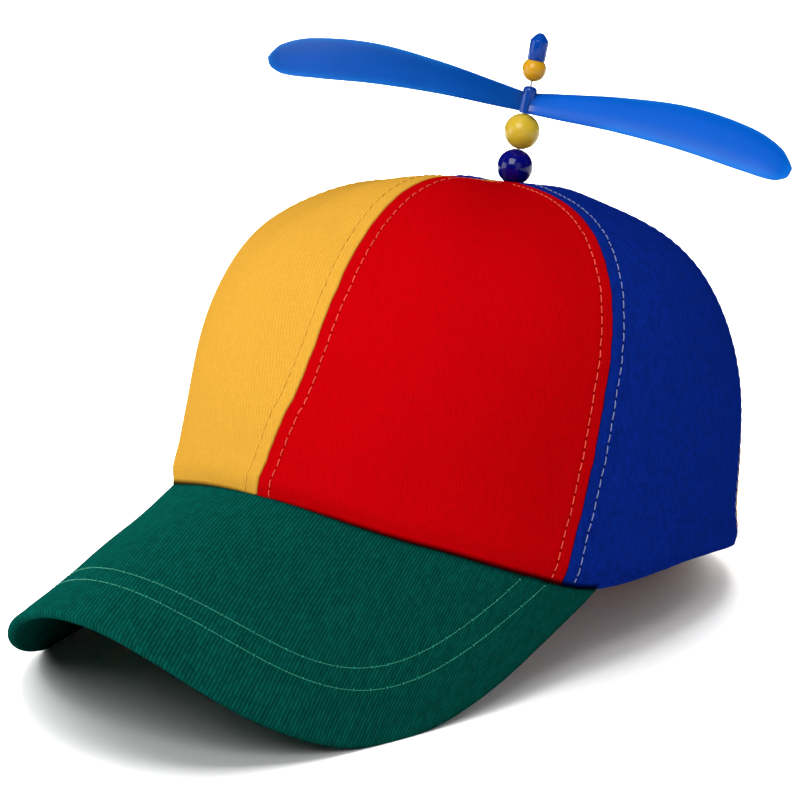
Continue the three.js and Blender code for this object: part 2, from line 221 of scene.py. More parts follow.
# Propeller: a hub and two blades, in its own frame with the pin up Z and a blade along X
HUB_RADIUS = 2.3
HUB_BOTTOM = 22.8
HUB_HEIGHT = 8.8
HUB_SHOULDER = 1.4
HUB_STEPS = 10
HUB_CHAMFER = 0.25
BLADE_HEIGHT = 27.2
BLADE_TURN = 30
BLADE_LEAN = 0.5
BLADE_RADIUS = 87.5
BLADE_START = 1.3
BLADE_DROOP = 3.9
BLADE_PITCH = 48
BLADE_THICKNESS = 1.5
BLADE_CAMBER = 0.1
BLADE_SECTIONS = 90
SECTION_POINTS = 40
TIP_ROUNDING = 0.985
TIP_FLAT = 0.02
BLADE_EDGES = dict(
    out=[0, 0.1, 0.33, 0.58, 0.82, 0.945, 1],
    high=[2.4, 4.2, 8, 10.4, 8.8, 5, 0.4],
    low=[4.2, 3.9, 3, 3.2, 4.6, 4.9, 2.8],
)
# The finish has a painted highlight along the blades' thin edges, and painted shade and a glossier coat by
# the hub
EDGE_PAINTED_HIGHLIGHT = dict(width=1.8, share=0.6)
HUB_PAINTED_SHADE = 0.018
HUB_COAT = 0.35
BLADE_MARKS = dict(start=6, end=30, away=8)

# Weave: ribs lean to the left of the cloth's length, and each is made of short floats of thread
CROWN_RIBS = dict(pitch=1.1, lean=20.5, run=1.9, dip=0.35)
VISOR_RIBS = dict(pitch=1.24, lean=24, run=2.4, dip=0.3)
WANDER = dict(scale=0.12, detail=2)
WANDER_RIBS = 0.7
FIBRE = dict(scale=2.5, detail=4)
SLUB = dict(scale=0.3, detail=3)
# What makes up a rib's grain: the tone of each float, its fibres, and slubs in the yarn
GRAIN = dict(float=0.4, fibre=0.35, slub=0.25)
COTTON_ROUGHNESS = 0.96
RIB_SHEEN = 0.12
FIBRE_RELIEF = 0.3
# Painted shade in the cloth: in needle holes, along seams, and where crown and visor are sewn together
HOLE_PAINTED_SHADE = dict(width=0.42, start=0.41, share=0.8)
SEAM_PAINTED_SHADE = dict(width=0.45, share=0.3, dark=0.42)
JOIN_PAINTED_SHADE = dict(width=1.1, share=0.95, dark=0.06)

# Thread, plastic, wire and paper
THREAD_TWIST = dict(along=9, around=2, share=0.6, sheen=0.15, depth=0.05)
THREAD_LOOK = dict(dark=0.82, light=1.05, roughness=0.7)
FLOW = dict(scale=90, detail=3)
FLOW_TONES = dict(dark=0.94, light=1.04)
SCUFFS = dict(scale=1400, detail=4)
SCUFF_ROUGHNESS = 0.12
RIPPLES = dict(scale=260, detail=2)
RIPPLE_DEPTH = 0.02
SCRATCHES = dict(scale=2500, detail=2)
WIRE_LOOK = dict(dark=0.85, roughness=0.22, scratched=0.15)
PAPER_GRAIN = dict(scale=600, detail=2)
PAPER_LOOK = dict(dark=0.995, roughness=0.85)
DULL_GLOSS = 0.1

# Colours as the eye sees them: red, green and blue out of a full 255
FULL_COLOUR = 255
COTTON = {
    "red": (146, 1, 5),
    "yellow": (167, 123, 41),
    "blue": (6, 27, 99),
    "green": (3, 48, 42),
}
# How far each cotton goes from dark to light, how much of that follows its ribs, how deep they are, and how
# dark its needle holes are painted
# The part of the tone that follows the ribs is painted shade in their grooves and painted light on their
# crests
COTTON_LOOK = {
    "red": dict(ribs=CROWN_RIBS, dark=0.92, light=1.055, rib_shade_share=0.5, depth=0.03, painted_hole_tone=0.6),
    "yellow": dict(ribs=CROWN_RIBS, dark=0.935, light=1.085, rib_shade_share=0.6, depth=0.03, painted_hole_tone=0.97),
    "blue": dict(ribs=CROWN_RIBS, dark=0.7, light=1.24, rib_shade_share=0.25, depth=0.04, painted_hole_tone=0.42),
    "green": dict(ribs=VISOR_RIBS, dark=0.14, light=1.45, rib_shade_share=0.55, depth=0.12, painted_hole_tone=0.42),
}
CROWN_THREAD = {
    "red": (206, 74, 54),
    "yellow": (208, 154, 53),
    "blue": (106, 114, 154),
}
GREEN_THREAD = (38, 122, 99)
NAVY_BEAD = (3, 4, 88)
YELLOW_BEAD = (168, 142, 37)
AMBER_BEAD = (167, 123, 18)
PROPELLER_BLUE = (0, 71, 160)
PROPELLER_EDGE_HIGHLIGHT = (8, 104, 186)
HUB_PAINTED_SHADE_BLUE = (0, 48, 122)
TIP_BLUE = (0, 49, 126)
WIRE_STEEL = (205, 207, 210)
FLOOR_WHITE = (246, 246, 247)

# Camera and lights, in metres and degrees
CAMERA_AIM = Vector((-0.0116, 0.0228, 0.0643))
CAMERA_DISTANCE = 0.9
CAMERA_AZIMUTH = 42.11
CAMERA_ELEVATION = 15.61
CAMERA_ROLL = -2.1
CAMERA_LENS = 125.96
SENSOR = 36
FLOOR_HALF = 4
FLOOR_DROP = 0.0001
SKY_STRENGTH = 0.03
# Softboxes, by what they light: the whole cap, its visor alone, or the floor
SOFTBOXES = {
    "cap": [
        dict(name="overhead", place=(0, 0.1, 2.2), aim=(0, 0, 0.05), size=1.6, watts=32),
        dict(name="key", place=(0.35, -1.33, 1.6), aim=(0, 0, 0.05), size=1.3, watts=56),
        dict(name="side", place=(1.3, -0.65, 0.6), aim=(0, 0, 0.06), size=0.9, watts=3),
        dict(name="left", place=(-0.9, -1.1, 0.35), aim=(0, 0, 0.06), size=0.9, watts=13),
    ],
    "visor": [
        dict(name="visor", place=(-1.5, -0.1, 0.5), aim=(0, -0.1, 0), size=0.9, watts=44),
    ],
    "floor": [
        dict(name="front_floor", place=(0.6, -1.25, 1.6), aim=(0, 0, 0), size=1.3, watts=14),
        dict(name="high_floor", place=(-0.25, 0.3, 2.2), aim=(0, 0, 0), size=1.3, watts=50),
        dict(name="back_floor", place=(0.2, 1.4, 0.7), aim=(0, 0, 0), size=1.2, watts=14),
        dict(name="left_floor", place=(-1.3, 0.2, 0.55), aim=(0, 0, 0), size=0.9, watts=38),
        dict(name="right_floor", place=(1.3, 0.2, 0.55), aim=(0, 0.05, 0), size=0.9, watts=3.5),
        dict(name="far_floor", place=(-1.2, 1.5, 1.4), aim=(-1.1, 1.5, 0), size=1.6, watts=70),
    ],
}
# Narrow lights for the floor beyond the cap, seen from its other sides, which leave its shadow alone
SIDE_FLOOR = dict(size=1.6, watts=22, spread=90)
SIDE_FLOOR_HEIGHT = 1.5
SIDE_FLOOR_PLACES = [(-1.5, -1.5), (1.5, -1.5), (1.5, 1.5)]
SOFTBOXES["floor"] += [
    dict(SIDE_FLOOR, name=f"side_floor_{number}", place=(x, y, SIDE_FLOOR_HEIGHT), aim=(x, y, 0))
    for number, (x, y) in enumerate(SIDE_FLOOR_PLACES)
]
# The one softbox that shows in no gloss
UNSEEN_SOFTBOX = "overhead"


def linear(colour, factor=1):
    """A colour as the eye sees it, made lighter or darker, as the light that a shader works with."""
    seen = np.clip(np.array(colour) * factor / FULL_COLOUR, 0, 1)
    return (*Color(seen).from_srgb_to_scene_linear(), 1)


def turn(axis, degrees):
    return np.array(Matrix.Rotation(math.radians(degrees), 3, axis))


CAP_TURN = turn("X", -CAP_TILT)
PIN_TURN = turn("X", PIN_FORWARD) @ turn("Y", PIN_LEFT)
PROPELLER_TURN = turn("Z", BLADE_TURN) @ turn("Y", BLADE_LEAN)
PIN_FOOT = np.array([0, CROWN_TOP_Y, CROWN_HEIGHT + TOP_PUCKER])
SPIN_POINT = np.array(frame["joints"][0]["pos_m"]) / MM
CAP_PLACE = SPIN_POINT - CAP_TURN @ (PIN_FOOT + PIN_TURN @ [0, 0, BLADE_HEIGHT])


def cap_to_room(points):
    """Points of the cap's own frame as points in the room, in metres. Cloth stops at the floor."""
    placed = points @ CAP_TURN.T + CAP_PLACE
    placed[..., 2] = np.maximum(placed[..., 2], 0)
    return placed * MM


def pin_to_room(points):
    return cap_to_room(np.asarray(points, float) @ PIN_TURN.T + PIN_FOOT)


# Finishes

# Sockets of the Mix node for colours, by number because their names repeat
MIX_FACTOR = 0
MIX_FIRST = 6
MIX_SECOND = 7
MIX_COLOUR = 2


class Value:
    """Something that changes over a surface. Arithmetic on it adds Math nodes to its finish."""

    def __init__(self, finish, socket):
        self.finish = finish
        self.socket = socket

    def math(self, operation, *terms):
        return self.finish.node("ShaderNodeMath", {"operation": operation}, dict(enumerate(terms)))

    def __add__(self, other):
        return self.math("ADD", self, other)

    def __sub__(self, other):
        return self.math("SUBTRACT", self, other)

    def __rsub__(self, other):
        return self.math("SUBTRACT", other, self)

    def __mul__(self, other):
        return self.math("MULTIPLY", self, other)

    def __truediv__(self, other):
        return self.math("DIVIDE", self, other)

    __radd__ = __add__
    __rmul__ = __mul__

    def fract(self):
        return self.math("FRACT", self)

    def floor(self):
        return self.math("FLOOR", self)

    def sine(self):
        return self.math("SINE", self)

    def size(self):
        return self.math("ABSOLUTE", self)

    def above(self, limit):
        return self.math("GREATER_THAN", self, limit)

    def bell(self, width):
        """1 where this is 0, falling away smoothly on both sides."""
        scaled = self / width
        return self.math("EXPONENT", 0 - scaled * scaled)

    def output(self, name):
        return Value(self.finish, self.socket.node.outputs[name])


class Finish:
    """A material with one surface shader and the nodes that feed it."""

    def __init__(self, name, **settings):
        self.material = bpy.data.materials.new(name)
        self.material.use_nodes = True
        self.nodes = self.material.node_tree.nodes
        self.links = self.material.node_tree.links
        self.shader = self.nodes["Principled BSDF"]
        self.surface(**settings)

    def node(self, kind, settings, sockets, output=0):
        made = self.nodes.new(kind)
        for setting, value in settings.items():
            setattr(made, setting, value)
        for name, value in sockets.items():
            self.feed(made.inputs[name], value)
        return Value(self, made.outputs[output])

    def feed(self, socket, value):
        if isinstance(value, Value):
            self.links.new(value.socket, socket)
        else:
            socket.default_value = value

    def surface(self, **values):
        for name, value in values.items():
            self.feed(self.shader.inputs[name.replace("_", " ")], value)
        return self.material

    def marks(self, name):
        """The three numbers that a piece's mesh holds under this name, and all three as a vector."""
        vector = self.node("ShaderNodeAttribute", {"attribute_name": name}, {}, "Vector")
        parts = self.node("ShaderNodeSeparateXYZ", {}, {"Vector": vector})
        return parts, parts.output("Y"), parts.output("Z"), vector

    def place(self):
        return self.node("ShaderNodeTexCoord", {}, {}, "Object")

    def noise(self, vector, scale, detail):
        return self.node("ShaderNodeTexNoise", {}, {"Vector": vector, "Scale": scale, "Detail": detail})

    def chance(self, first, second):
        """A number from 0 to 1, drawn afresh for each pair of whole numbers."""
        pair = self.node("ShaderNodeCombineXYZ", {}, {"X": first, "Y": second})
        return self.node("ShaderNodeTexWhiteNoise", {"noise_dimensions": "2D"}, {"Vector": pair})

    def mix(self, first, second, factor):
        settings = {"data_type": "RGBA", "clamp_factor": True}
        sockets = {MIX_FACTOR: factor, MIX_FIRST: first, MIX_SECOND: second}
        return self.node("ShaderNodeMix", settings, sockets, MIX_COLOUR)

    def bump(self, height, depth):
        return self.node("ShaderNodeBump", {}, {"Height": height, "Distance": depth * MM})


def cotton_twill(name, colour, ribs, dark, light, rib_shade_share, depth, painted_hole_tone):
    """Cotton in a steep twill: ribs of short floats, each of its own tone, with painted shade in grooves,
    needle holes and seams.
    """
    finish = Finish(name, Specular_IOR_Level=0.0)
    across, up, join, cloth = finish.marks("cloth")
    from_stitch, stitch_count, from_seam, _ = finish.marks("sewing")
    lean = math.radians(ribs["lean"])
    wander = (finish.noise(cloth, **WANDER) - 0.5) * WANDER_RIBS
    rib = (across * math.cos(lean) + up * math.sin(lean)) / ribs["pitch"] + wander
    side = rib.fract() * 2 - 1
    ridge = 1 - side * side
    rib_number = rib.floor()
    run = (up * math.cos(lean) - across * math.sin(lean)) / ribs["run"] + finish.chance(rib_number, 0)
    float_side = run.fract() * 2 - 1
    weave = ridge * (1 - float_side * float_side * ribs["dip"])
    fibre = finish.noise(cloth, **FIBRE)
    slub = finish.noise(cloth, **SLUB)
    draw = finish.chance(rib_number, run.floor())
    grain = draw * GRAIN["float"] + fibre * GRAIN["fibre"] + slub * GRAIN["slub"]
    # Painted shade: small dark spots at the needle holes, where each stitch dives into the cloth
    at_hole = (stitch_count.fract() - 0.5).size().above(HOLE_PAINTED_SHADE["start"])
    painted_hole_shade = from_stitch.bell(HOLE_PAINTED_SHADE["width"]) * at_hole * HOLE_PAINTED_SHADE["share"]
    # Painted shade: a thin dark line along each seam, where the turned edges of the panels meet
    painted_seam_shade = from_seam.bell(SEAM_PAINTED_SHADE["width"]) * SEAM_PAINTED_SHADE["share"]
    # The tone is partly random grain and partly painted shade and light that follow the ribs
    tone = weave * rib_shade_share + grain * (1 - rib_shade_share)
    woven_and_shaded = finish.mix(linear(colour, dark), linear(colour, light), tone)
    hole_shaded = finish.mix(woven_and_shaded, linear(colour, painted_hole_tone), painted_hole_shade)
    seamed = finish.mix(hole_shaded, linear(colour, SEAM_PAINTED_SHADE["dark"]), painted_seam_shade)
    return finish.surface(
        # Painted shade: a near-black line where the crown's hem meets the visor
        Base_Color=finish.mix(seamed, linear(colour, JOIN_PAINTED_SHADE["dark"]), join),
        Roughness=COTTON_ROUGHNESS - ridge * RIB_SHEEN,
        Normal=finish.bump(weave + fibre * FIBRE_RELIEF, depth),
    )


def sewing_thread(name, colour):
    """Two-ply thread: the twist shows as slanting ridges round each stitch, with painted shade between the
    plies.
    """
    finish = Finish(name, Specular_IOR_Level=DULL_GLOSS)
    along, around, draw, _ = finish.marks("thread")
    twist = (along * THREAD_TWIST["along"] + around * THREAD_TWIST["around"]).sine() * 0.5 + 0.5
    # The colour is partly a random tone for each stitch and partly painted shade and light that follow the
    # twist
    tone = twist * THREAD_TWIST["share"] + draw * (1 - THREAD_TWIST["share"])
    dark = linear(colour, THREAD_LOOK["dark"])
    return finish.surface(
        Base_Color=finish.mix(dark, linear(colour, THREAD_LOOK["light"]), tone),
        Roughness=THREAD_LOOK["roughness"] - twist * THREAD_TWIST["sheen"],
        Normal=finish.bump(twist, THREAD_TWIST["depth"]),
    )


def moulded_plastic(name, colour, roughness, gloss, edge_highlight_colour=None):
    """Plastic from a mould: a faint flow in its colour and fine scuffs; on blades, painted highlights on
    thin edges and painted shade by the hub.
    """
    finish = Finish(name, Specular_IOR_Level=gloss)
    place = finish.place()
    flow = finish.noise(place, **FLOW)
    scuffs = finish.noise(place, **SCUFFS) - 0.5
    tint = finish.mix(linear(colour, FLOW_TONES["dark"]), linear(colour, FLOW_TONES["light"]), flow)
    if edge_highlight_colour:
        from_edge, out, _, _ = finish.marks("blade")
        # Painted highlight: the thin edges are lighter, standing for light that shines through and off them
        painted_highlight = from_edge.bell(EDGE_PAINTED_HIGHLIGHT["width"]) * EDGE_PAINTED_HIGHLIGHT["share"]
        # Painted shade: the hub and the blades' roots are darkened towards a deeper blue, and given a
        # glossier coat
        near_hub = out.bell(HUB_PAINTED_SHADE)
        tint = finish.mix(finish.mix(tint, linear(edge_highlight_colour), painted_highlight), linear(HUB_PAINTED_SHADE_BLUE), near_hub)
        finish.surface(Coat_Weight=near_hub * HUB_COAT)
    return finish.surface(
        Base_Color=tint,
        Roughness=roughness + scuffs * SCUFF_ROUGHNESS,
        Normal=finish.bump(finish.noise(place, **RIPPLES), RIPPLE_DEPTH),
    )


def drawn_wire(name, colour):
    """Bright drawn steel wire with fine scratches."""
    finish = Finish(name, Metallic=1.0)
    scratches = finish.noise(finish.place(), **SCRATCHES)
    return finish.surface(
        Base_Color=finish.mix(linear(colour, WIRE_LOOK["dark"]), linear(colour), scratches),
        Roughness=WIRE_LOOK["roughness"] + scratches * WIRE_LOOK["scratched"],
    )


def paper_floor(name, colour):
    finish = Finish(name, Specular_IOR_Level=DULL_GLOSS)
    grain = finish.noise(finish.place(), **PAPER_GRAIN)
    return finish.surface(
        Base_Color=finish.mix(linear(colour, PAPER_LOOK["dark"]), linear(colour), grain),
        Roughness=PAPER_LOOK["roughness"],
    )


COTTON_FINISH = {
    name: cotton_twill(name + "_cotton", colour, **COTTON_LOOK[name]) for name, colour in COTTON.items()
}
THREAD_FINISH = {name: sewing_thread(name + "_thread", colour) for name, colour in CROWN_THREAD.items()}
GREEN_STITCHING = sewing_thread("green_thread", GREEN_THREAD)
NAVY_GLOSS = moulded_plastic("navy_gloss", NAVY_BEAD, roughness=0.15, gloss=0.22)
YELLOW_GLOSS = moulded_plastic("yellow_gloss", YELLOW_BEAD, roughness=0.24, gloss=0.22)
AMBER_GLOSS = moulded_plastic("amber_gloss", AMBER_BEAD, roughness=0.24, gloss=0.22)
PROPELLER_SATIN = moulded_plastic(
    "propeller_satin", PROPELLER_BLUE, roughness=0.36, gloss=0.09, edge_highlight_colour=PROPELLER_EDGE_HIGHLIGHT
)
TIP_SATIN = moulded_plastic("tip_satin", TIP_BLUE, roughness=0.18, gloss=0.16)
BRIGHT_WIRE = drawn_wire("bright_wire", WIRE_STEEL)
PALE_FLOOR = paper_floor("pale_floor", FLOOR_WHITE)


# Shapes from grids of points


def unit(vectors):
    return vectors / np.linalg.norm(vectors, axis=-1, keepdims=True)


def travel(points, axis):
    """How far along a row or column of points each one lies."""
    legs = np.linalg.norm(np.diff(points, axis=axis), axis=-1)
    start = np.zeros_like(np.take(legs, [0], axis=axis))
    return np.concatenate([start, np.cumsum(legs, axis=axis)], axis=axis)


def smooth_step(value, low, high):
    share = np.clip((value - low) / (high - low), 0, 1)
    return share * share * (3 - 2 * share)


def bell(value, width):
    return np.exp(-((value / width) ** 2))


def rolled(distance, radius):
    """How far a rounded edge drops at a distance in from it."""
    inward = np.clip(radius - distance, 0, radius)
    return radius - np.sqrt(radius**2 - inward**2)


def read_table(table, key, column, at):
    """A smooth curve through the values of a table's column."""
    keys = np.array(table[key], float)
    values = np.array(table[column], float)
    slopes = np.empty_like(values)
    slopes[1:-1] = (values[2:] - values[:-2]) / (keys[2:] - keys[:-2])
    slopes[0] = (values[1] - values[0]) / (keys[1] - keys[0])
    slopes[-1] = (values[-1] - values[-2]) / (keys[-1] - keys[-2])
    row = np.clip(np.searchsorted(keys, at) - 1, 0, len(keys) - 2)
    span = keys[row + 1] - keys[row]
    share = (at - keys[row]) / span
    ease = share * share * (3 - 2 * share)
    leave = share * (1 - share) ** 2 * span * slopes[row]
    arrive = share * share * (share - 1) * span * slopes[row + 1]
    return values[row] + (values[row + 1] - values[row]) * ease + leave + arrive


def distance_to(path, points):
    """Each point's distance to the nearest point of a path."""
    tree = KDTree(len(path))
    for number, point in enumerate(path):
        tree.insert(point, number)
    tree.balance()
    nearest = [tree.find(point)[2] for point in points.reshape(-1, 3)]
    return np.array(nearest).reshape(points.shape[:-1])


def strip(first, second):
    """Four-sided faces between two rows of points."""
    return np.stack([first[:-1], first[1:], second[1:], second[:-1]], axis=-1).reshape(-1, 4)


def quads(grid):
    return np.concatenate([strip(low, high) for low, high in zip(grid[:-1], grid[1:])])


def sheet_faces(rows, columns):
    """Faces of a wall made of two grids: its outer side, its inner side, and its four edges."""
    outer, inner = np.arange(2 * rows * columns).reshape(2, rows, columns)
    return np.concatenate([
        quads(outer),
        quads(inner[:, ::-1]),
        strip(inner[0], outer[0]),
        strip(outer[-1], inner[-1]),
        strip(outer[:, 0], inner[:, 0]),
        strip(inner[:, -1], outer[:, -1]),
    ])


def add_marks(mesh, name, values):
    """Gives each point of a mesh three numbers for its finish."""
    layer = mesh.attributes.new(name, "FLOAT_VECTOR", "POINT")
    layer.data.foreach_set("vector", np.asarray(values, np.float32).ravel())


def make_piece(name, points, faces, material, marks=None, sharp=None):
    """An object of points in the room, shaded smooth except where faces meet at more than sharp degrees."""
    mesh = bpy.data.meshes.new(name)
    mesh.from_pydata(points.reshape(-1, 3).tolist(), [], [list(face) for face in faces])
    for mark, values in (marks or {}).items():
        add_marks(mesh, mark, values)
    mesh.materials.append(material)
    finish_mesh(mesh, sharp)
    made = bpy.data.objects.new(name, mesh)
    bpy.context.scene.collection.objects.link(made)
    return made


def finish_mesh(mesh, sharp):
    """Welds points that meet, turns every face outwards and smooths the shading."""
    work = bmesh.new()
    work.from_mesh(mesh)
    bmesh.ops.remove_doubles(work, verts=work.verts, dist=WELD * MM)
    bmesh.ops.recalc_face_normals(work, faces=work.faces)
    work.to_mesh(mesh)
    work.free()
    mesh.shade_smooth()
    if sharp:
        mesh.set_sharp_from_angle(angle=math.radians(sharp))


def dress(piece, body, slot, *nodes):
    """Lets a piece ride on a body and hides the plain solids that it stands for. The slot is not used."""
    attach(piece, body)
    if nodes:
        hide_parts(*nodes)


# Crown


def signed_power(value, power):
    return np.sign(value) * np.abs(value) ** power


def from_front(angle):
    """An angle from -180 to 180, with 0 at the front."""
    return (np.asarray(angle, float) + 180) % 360 - 180


def fold(angle):
    """An angle as it is on the wearer's left: from 0 at the front to 180 at the back."""
    return np.abs(from_front(angle))


def station(angle, column):
    """The rim and the two curves of the crown at an angle. Both sides of the cap are alike."""
    return read_table(STATIONS, "angle", column, fold(angle))


def rim_point(angle):
    around = np.radians(angle)
    power = 2 / RIM_SQUARENESS
    x = HALF_WIDTH * signed_power(np.sin(around), power)
    y = -HALF_LENGTH * signed_power(np.cos(around), power)
    z = station(angle, "rim") + read_table(HEM_TRIM, "angle", "lift", fold(angle)) - front_dip(angle)
    return x, y, z


def front_dip(angle):
    return FRONT_DIP["depth"] * bell(from_front(angle) - FRONT_DIP["angle"], FRONT_DIP["spread"])


def crown_point(angle, climb):
    """A point of the crown's outer side, from 0 at the rim to 1 at the top."""
    rim_x, rim_y, rim_z = rim_point(angle)
    eased = climb**3 * (climb * (climb * 6 - 15) + 10)
    lean = eased * math.pi / 2
    out = np.maximum(np.cos(lean), 0) ** (2 / station(angle, "dome"))
    up = np.sin(lean) ** (2 / station(angle, "wall"))
    x = rim_x * out
    y = CROWN_TOP_Y + (rim_y - CROWN_TOP_Y) * out
    pucker = TOP_PUCKER * bell(np.hypot(x, y - CROWN_TOP_Y), PUCKER_SPREAD)
    z = rim_z + (CROWN_HEIGHT - rim_z) * up + pucker
    return np.stack(np.broadcast_arrays(x, y, z), axis=-1)


class CrownLines:
    """Lines up the crown, each with an angle at every step, read by how far up the cloth a point lies."""

    def __init__(self, angles):
        self.steps = np.linspace(0, 1, LINE_STEPS + 1)
        self.angles = np.broadcast_to(angles, (len(self.steps), np.shape(angles)[-1]))
        self.climb = travel(crown_point(self.angles, self.steps[:, None]), axis=0)
        self.top = self.climb[-1] - PIN_HOLE

    def points(self, heights):
        columns = range(self.angles.shape[1])
        steps = [np.interp(heights[:, i], self.climb[:, i], self.steps) for i in columns]
        angles = [np.interp(step, self.steps, self.angles[:, i]) for i, step in enumerate(steps)]
        return crown_point(np.stack(angles, axis=1), np.stack(steps, axis=1))


def seam_angle(seam):
    """A seam's angle at every step up the crown."""
    step = np.linspace(0, 1, LINE_STEPS + 1)
    wobble = sum(np.sin(2 * math.pi * turns * step + seam["foot"]) for turns in WOBBLE_TURNS)
    straight = seam["foot"] + (seam["top"] - seam["foot"]) * step
    return straight + seam["sway"] * bell(step - seam["at"], seam["over"]) + SEAM_WOBBLE * wobble


def painted_join_shade(distance):
    """How much painted shade darkens the cloth near the line where the crown and the visor meet."""
    return JOIN_PAINTED_SHADE["share"] * bell(np.maximum(distance, 0) ** 2, JOIN_PAINTED_SHADE["width"] ** 2)


def form_height(points):
    """How far the worn cloth is pressed in or swells out."""
    height = np.zeros(points.shape[:-1])
    for form in SOFT_FORMS:
        line = CrownLines(np.array([form["angle"]], float))
        middle = line.points(line.climb[-1:] * form["rise"])[0, 0]
        height += form["height"] * bell(np.linalg.norm(points - middle, axis=-1), form["width"])
    return height


WAVE_TURNS = unit(rng.normal(size=(WAVES, 3)))
WAVE_SIZES = rng.uniform(*WAVE_LENGTHS, WAVES)
WAVE_STARTS = rng.uniform(0, 2 * math.pi, WAVES)


def soft_waves(points):
    """The slight unevenness of cloth that holds itself up."""
    return WAVE_DEPTH * np.sin(points @ WAVE_TURNS.T * 2 * math.pi / WAVE_SIZES + WAVE_STARTS).sum(axis=-1)


class Panel:
    """One crown panel: rows of points go up the cloth, and columns from its first seam to its second."""

    def __init__(self, start, end):
        first = seam_angle(start)
        last = seam_angle(end)
        last = last + 360 * (last[0] < first[0])
        share = (1 - np.cos(np.linspace(0, math.pi, PANEL_COLUMNS + 1))) / 2
        angles = first[:, None] + (last - first)[:, None] * share
        self.flare = read_table(HEM_TRIM, "angle", "flare", fold(angles[0]))
        self.over_visor = fold(angles[0]) < VISOR_END
        lines = CrownLines(angles)
        hem = np.repeat(np.array(HEM_ROWS, float)[:, None], len(share), axis=1)
        self.up = np.vstack([hem, np.linspace(hem[-1], lines.top, PANEL_ROWS + 1)[1:]])
        self.base = lines.points(self.up)
        ahead = CrownLines(angles + ANGLE_STEP).points(self.up)
        behind = CrownLines(angles - ANGLE_STEP).points(self.up)
        self.normal = unit(np.cross(ahead - behind, np.gradient(self.base, axis=0)))
        across = travel(self.base, axis=1)
        width = across[:, -1:]
        self.across = across - width / 2
        self.half_width = width[:, 0] / 2
        self.from_seams = (across, width - across)
        self.from_seam = np.minimum(across, width - across)
        self.stitch_places = (start["stitch"], end["stitch"])
        from_rows = [away - place for away, place in zip(self.from_seams, self.stitch_places)]
        self.from_stitch = np.where(across < width / 2, *from_rows)
        paths = [read_rows(*row, self.base) for row in zip(self.stitch_places, self.from_seams)]
        self.stitch_runs = [travel(path, axis=0) for path in paths]
        runs = [run[:, None] for run in self.stitch_runs]
        self.count = np.where(across < width / 2, *runs) / CROWN_STITCH["pitch"]
        self.set_sides()

    def set_sides(self):
        """The outer and inner side of the cloth, with its sewing."""
        edge = np.minimum(self.up, self.up[-1:] - self.up)
        edge_roll = rolled(edge, HEM_ROLL)
        allowance = 1 - smooth_step(self.from_seam, ALLOWANCE - ALLOWANCE_EASE, ALLOWANCE)
        pucker = PUCKER_DEPTH * np.cos(2 * math.pi * self.count) * bell(self.from_stitch, PUCKER_WIDTH)
        channel = STITCH_CHANNEL * bell(self.from_stitch, CHANNEL_WIDTH)
        sewing = SEAM_RIDGE * allowance - channel + pucker
        bulge = HEM_BULGE["depth"] * bell(self.up - HEM_BULGE["place"], HEM_BULGE["spread"])
        waves = soft_waves(self.base) * (1 - bell(self.up, HEM_CALM))
        shape = waves + form_height(self.base) + bulge * smooth_step(self.up, 0, HEM_BULGE["place"])
        shape += self.flare * bell(self.up, FLARE_HEIGHT)
        raise_outer = shape + sewing - rolled(self.from_seam, SEAM_ROLL) - edge_roll
        raise_inner = shape - CLOTH - INNER_RIDGE * allowance + edge_roll
        self.outer = self.base + self.normal * raise_outer[..., None]
        self.inner = self.base + self.normal * raise_inner[..., None]

    def marks(self):
        """Where each point lies on the cloth, by which stitch, and how much painted shade it has by the
        visor, for the finish.
        """
        join = painted_join_shade(self.up - HEM_LINE) * self.over_visor
        cloth = np.stack([self.across, self.up, join], axis=-1)
        sewing = np.stack([self.from_stitch, self.count, self.from_seam], axis=-1)
        return {"cloth": np.stack([cloth, cloth]), "sewing": np.stack([sewing, sewing])}

    def sew(self, stitching):
        """Rows of stitches beside both seams, up to where the panel is too narrow for them."""
        for place, from_seam, run in zip(self.stitch_places, self.from_seams, self.stitch_runs):
            wide = self.half_width > place + STITCH_END_MARGIN
            wide &= self.up[:, 0] > HEM_ROLL
            path = read_rows(place, from_seam, self.outer)
            normals = read_rows(place, from_seam, self.normal)
            stitching.row(path[wide], normals[wide], run[wide], **CROWN_STITCH)


def read_rows(at, keys, rows):
    """The point of each row of points where its key reaches a value."""
    orders = [np.argsort(key) for key in keys]
    return np.array([
        [np.interp(at, key[order], row[order, axis]) for axis in range(3)]
        for key, row, order in zip(keys, rows, orders)
    ])


# Stitches


def follow(at, path, normals, run):
    """The point, the way up and the way across of a path, as far along it as each value says."""
    def read(values):
        return np.stack([np.interp(at, run, values[:, axis]) for axis in range(3)], axis=-1)

    up = unit(read(normals))
    ahead = unit(read(np.gradient(path, axis=0)))
    return read(path), up, np.cross(ahead, up)


def hole_places(run, pitch):
    return np.arange(math.ceil(run[0] / pitch), int(run[-1] / pitch) + 1) * pitch


